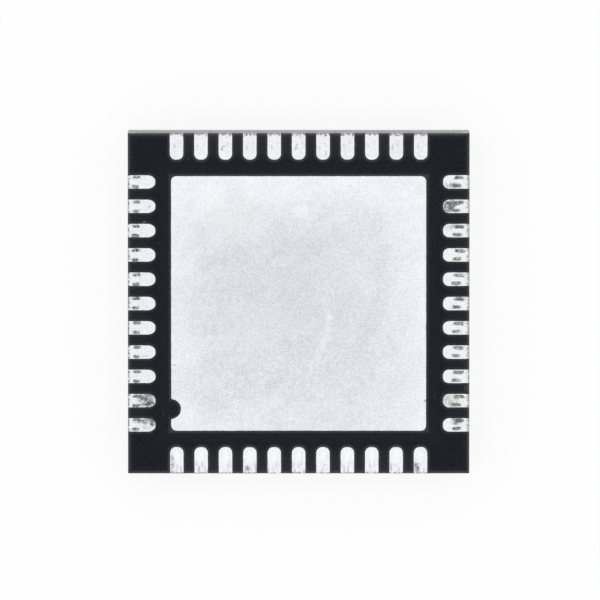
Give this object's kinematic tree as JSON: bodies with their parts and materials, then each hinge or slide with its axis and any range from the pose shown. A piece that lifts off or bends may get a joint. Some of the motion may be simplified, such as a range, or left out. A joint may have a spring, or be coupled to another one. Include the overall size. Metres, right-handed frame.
{
  "type": "qfn chip",
  "caption": "Square leadless chip package lying on its marked face: black moulding with a sealed die, plated leads flush along all four sides and an exposed thermal pad with a pin 1 notch.",
  "frame": {"origin": "centre of the marked face, on the surface that the chip lies on", "axes": "+Z up from the marked face to the terminals, +X to the right in the picture, +Y up in the picture; pin 1 is the lead at the low end of the -X side, and pins run up that side and round clockwise as seen from +Z"},
  "size_m": [0.007, 0.007, 0.0009],
  "materials": {
    "mould_compound": "matt epoxy moulding, sawn on its four walls",
    "tin_plate": "matt tin plate on copper, bare copper where sawn",
    "die_adhesive": "cured silver-filled adhesive",
    "silicon": "polished silicon",
    "gold_wire": "drawn gold wire"
  },
  "bodies": {
    "root": {"mould_body": "mould_compound", "die_paddle": "tin_plate", "die_attach": "die_adhesive", "silicon_die": "silicon", "bond_wires": "gold_wire", "lead_01": "tin_plate", "lead_02": "tin_plate", "lead_03": "tin_plate", "lead_04": "tin_plate", "lead_05": "tin_plate", "lead_06": "tin_plate", "lead_07": "tin_plate", "lead_08": "tin_plate", "lead_09": "tin_plate", "lead_10": "tin_plate", "lead_11": "tin_plate", "lead_12": "tin_plate", "lead_13": "tin_plate", "lead_14": "tin_plate", "lead_15": "tin_plate", "lead_16": "tin_plate", "lead_17": "tin_plate", "lead_18": "tin_plate", "lead_19": "tin_plate", "lead_20": "tin_plate", "lead_21": "tin_plate", "lead_22": "tin_plate", "lead_23": "tin_plate", "lead_24": "tin_plate", "lead_25": "tin_plate", "lead_26": "tin_plate", "lead_27": "tin_plate", "lead_28": "tin_plate", "lead_29": "tin_plate", "lead_30": "tin_plate", "lead_31": "tin_plate", "lead_32": "tin_plate", "lead_33": "tin_plate", "lead_34": "tin_plate", "lead_35": "tin_plate", "lead_36": "tin_plate", "lead_37": "tin_plate", "lead_38": "tin_plate", "lead_39": "tin_plate", "lead_40": "tin_plate", "lead_41": "tin_plate", "lead_42": "tin_plate", "lead_43": "tin_plate", "lead_44": "tin_plate"}
  },
  "joints": []
}
